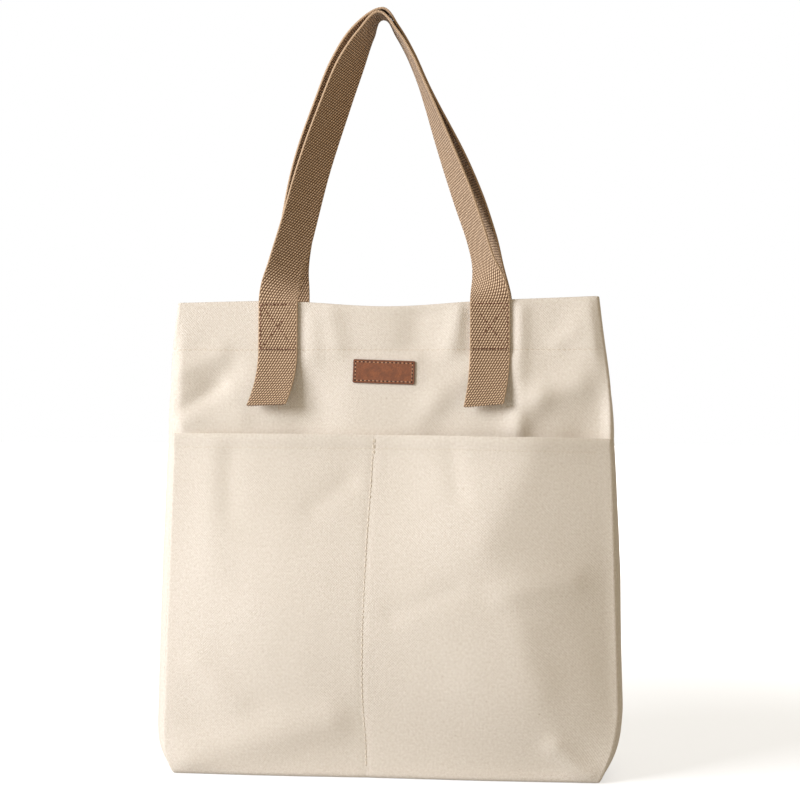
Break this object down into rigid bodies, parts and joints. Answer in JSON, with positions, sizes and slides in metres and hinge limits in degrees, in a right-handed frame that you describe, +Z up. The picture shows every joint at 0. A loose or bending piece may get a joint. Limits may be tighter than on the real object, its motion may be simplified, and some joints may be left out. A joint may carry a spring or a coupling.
{
  "type": "tote bag",
  "caption": "Canvas tote bag with pleated side gussets, a divided front pocket, a leather label and webbing handles that swing down over the rim.",
  "frame": {"origin": "middle of the base, on the surface that the bag stands on", "axes": "+Z up, front wall with the pocket and label faces -Y, +X to the right seen from the front"},
  "size_m": [0.38, 0.1189, 0.6257],
  "materials": {
    "canvas": "natural cotton canvas",
    "webbing": "brown cotton webbing",
    "leather": "tan vegetable leather",
    "binding_tape": "cotton binding tape"
  },
  "bodies": {
    "bag": {"front_panel": "canvas", "left_gusset": "canvas", "right_gusset": "canvas", "base_panel": "canvas", "front_pocket": "canvas", "label_patch": "leather", "front_seam_binding": "binding_tape", "left_base_binding": "binding_tape", "right_base_binding": "binding_tape", "front_left_handle_anchor": "webbing", "front_right_handle_anchor": "webbing"},
    "back_wall": {"back_panel": "canvas", "back_seam_binding": "binding_tape", "back_left_handle_anchor": "webbing", "back_right_handle_anchor": "webbing"},
    "front_handle": {"front_handle_loop": "webbing"},
    "back_handle": {"back_handle_loop": "webbing"},
    "front_left_tail": {"front_left_handle_tail": "webbing"},
    "front_right_tail": {"front_right_handle_tail": "webbing"},
    "back_left_tail": {"back_left_handle_tail": "webbing"},
    "back_right_tail": {"back_right_handle_tail": "webbing"}
  },
  "joints": [
    {"name": "mouth_open", "type": "hinge", "parent": "bag", "child": "back_wall", "pos_m": [0, 0.05, 0], "axis": [-1, 0, 0], "range_deg": [0, 5.5], "deforming": ["left_gusset", "right_gusset"]},
    {"name": "front_handle_swing", "type": "hinge", "parent": "bag", "child": "front_handle", "pos_m": [0, -0.03289, 0.38215], "axis": [1, 0, 0], "range_deg": [0, 150]},
    {"name": "back_handle_swing", "type": "hinge", "parent": "back_wall", "child": "back_handle", "pos_m": [0, 0.03289, 0.38215], "axis": [-1, 0, 0], "range_deg": [0, 150]},
    {"name": "front_left_tail_lift", "type": "hinge", "parent": "bag", "child": "front_left_tail", "pos_m": [-0.085, -0.03399, 0.34216], "axis": [-1, 0, 0], "range_deg": [-6, 15]},
    {"name": "front_right_tail_lift", "type": "hinge", "parent": "bag", "child": "front_right_tail", "pos_m": [0.085, -0.03399, 0.34216], "axis": [-1, 0, 0], "range_deg": [-6, 15]},
    {"name": "back_left_tail_lift", "type": "hinge", "parent": "back_wall", "child": "back_left_tail", "pos_m": [-0.085, 0.03399, 0.34216], "axis": [1, 0, 0], "range_deg": [-6, 15]},
    {"name": "back_right_tail_lift", "type": "hinge", "parent": "back_wall", "child": "back_right_tail", "pos_m": [0.085, 0.03399, 0.34216], "axis": [1, 0, 0], "range_deg": [-6, 15]}
  ]
}
